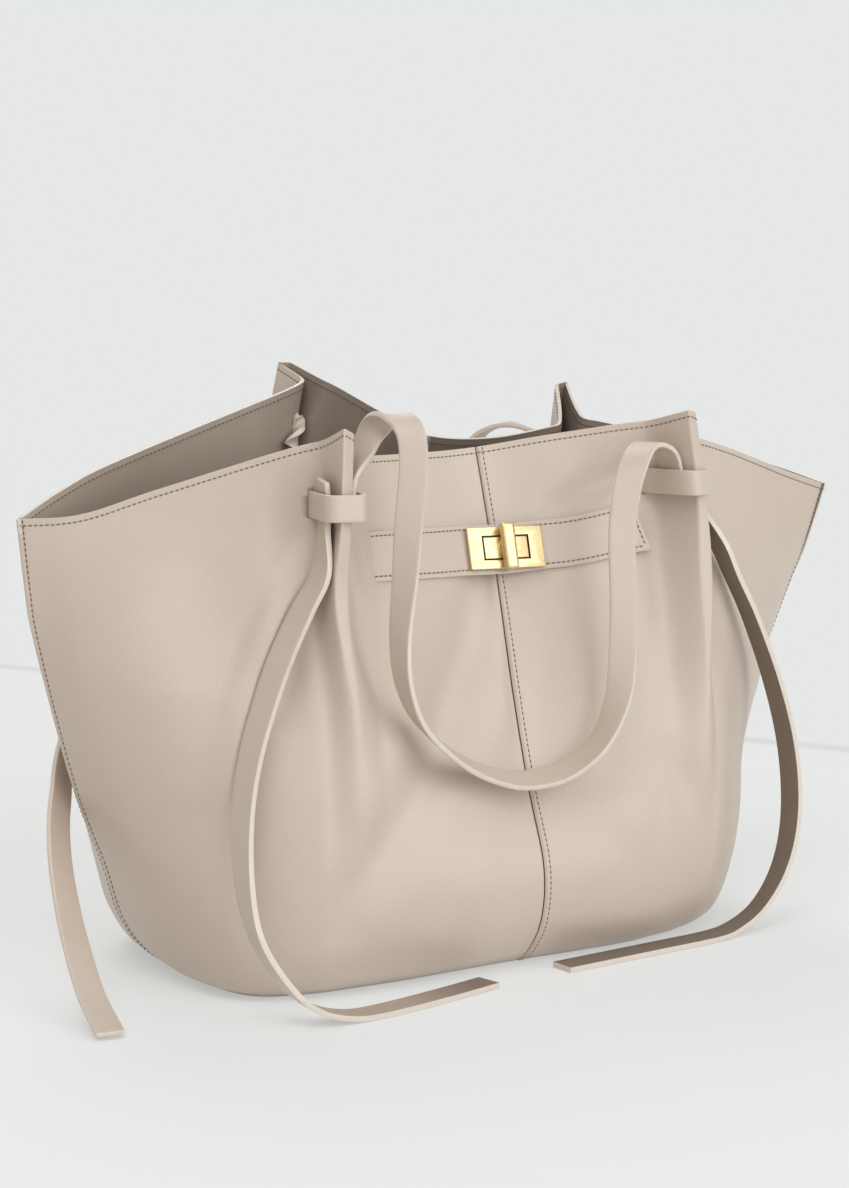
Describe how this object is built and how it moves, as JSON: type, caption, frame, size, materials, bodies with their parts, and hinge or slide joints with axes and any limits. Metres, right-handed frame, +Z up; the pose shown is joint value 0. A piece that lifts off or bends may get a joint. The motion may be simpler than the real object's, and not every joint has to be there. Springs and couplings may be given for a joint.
{
  "type": "shopper bag",
  "caption": "Soft leather shopper bag with flared sides, a belt with a metal turn lock, pleats bound by wraps, drop handles and long hanging strap tails.",
  "frame": {"origin": "on the floor under the bag, where the plane of the middle seams (x = 0) meets the plane of the side seams (y = 0)", "axes": "+Z up, -Y out of the front wall with the lock, +X to the right as seen from the front"},
  "size_m": [0.5172, 0.2827, 0.3235],
  "materials": {
    "leather": "smooth satin",
    "strap_leather": "smooth satin with painted edges",
    "brass": "polished",
    "board": "matte"
  },
  "bodies": {
    "bag": {"front_left_panel": "leather", "front_right_panel": "leather", "back_left_panel": "leather", "back_right_panel": "leather", "base_panel": "leather", "base_board": "board", "belt_strip": "leather", "lock_frame": "brass", "lock_hub": "brass", "lock_washer": "brass", "front_left_wrap": "strap_leather", "front_right_wrap": "strap_leather", "back_left_wrap": "strap_leather", "back_right_wrap": "strap_leather", "front_left_handle_end": "strap_leather", "front_right_handle_end": "strap_leather", "back_left_handle_end": "strap_leather", "back_right_handle_end": "strap_leather"},
    "lock_turn": {"lock_turn": "brass"},
    "front_handle": {"front_handle": "strap_leather"},
    "back_handle": {"back_handle": "strap_leather"},
    "front_left_tail": {"front_left_tail": "strap_leather"},
    "front_right_tail": {"front_right_tail": "strap_leather"},
    "back_left_tail": {"back_left_tail": "strap_leather"},
    "back_right_tail": {"back_right_tail": "strap_leather"}
  },
  "joints": [
    {"name": "lock_twist", "type": "hinge", "parent": "bag", "child": "lock_turn", "pos_m": [0.00263, -0.05475, 0.22612], "axis": [-0.0671, -0.9482, 0.3107], "range_deg": [0, 90]},
    {"name": "front_handle_swing", "type": "hinge", "parent": "bag", "child": "front_handle", "pos_m": [-0.0032, -0.08344, 0.29501], "axis": [-0.9937, -0.0155, 0.1106], "range_deg": [0, 175]},
    {"name": "back_handle_swing", "type": "hinge", "parent": "bag", "child": "back_handle", "pos_m": [0.0184, 0.08439, 0.29422], "axis": [0.9907, -0.0349, -0.1316], "range_deg": [0, 175]},
    {"name": "front_left_tail_swing", "type": "hinge", "parent": "bag", "child": "front_left_tail", "pos_m": [-0.1169, -0.07287, 0.248], "axis": [-0.9835, 0.1589, 0.0863], "range_deg": [0, 35]},
    {"name": "front_right_tail_swing", "type": "hinge", "parent": "bag", "child": "front_right_tail", "pos_m": [0.1132, -0.06541, 0.253], "axis": [-0.9079, -0.419, 0.0104], "range_deg": [0, 35]},
    {"name": "back_left_tail_swing", "type": "hinge", "parent": "bag", "child": "back_left_tail", "pos_m": [-0.08651, 0.08193, 0.2597], "axis": [0.6712, 0.7413, 0], "range_deg": [0, 60]},
    {"name": "back_right_tail_swing", "type": "hinge", "parent": "bag", "child": "back_right_tail", "pos_m": [0.11611, 0.06758, 0.2516], "axis": [0.9792, -0.1998, -0.0364], "range_deg": [0, 35]}
  ]
}
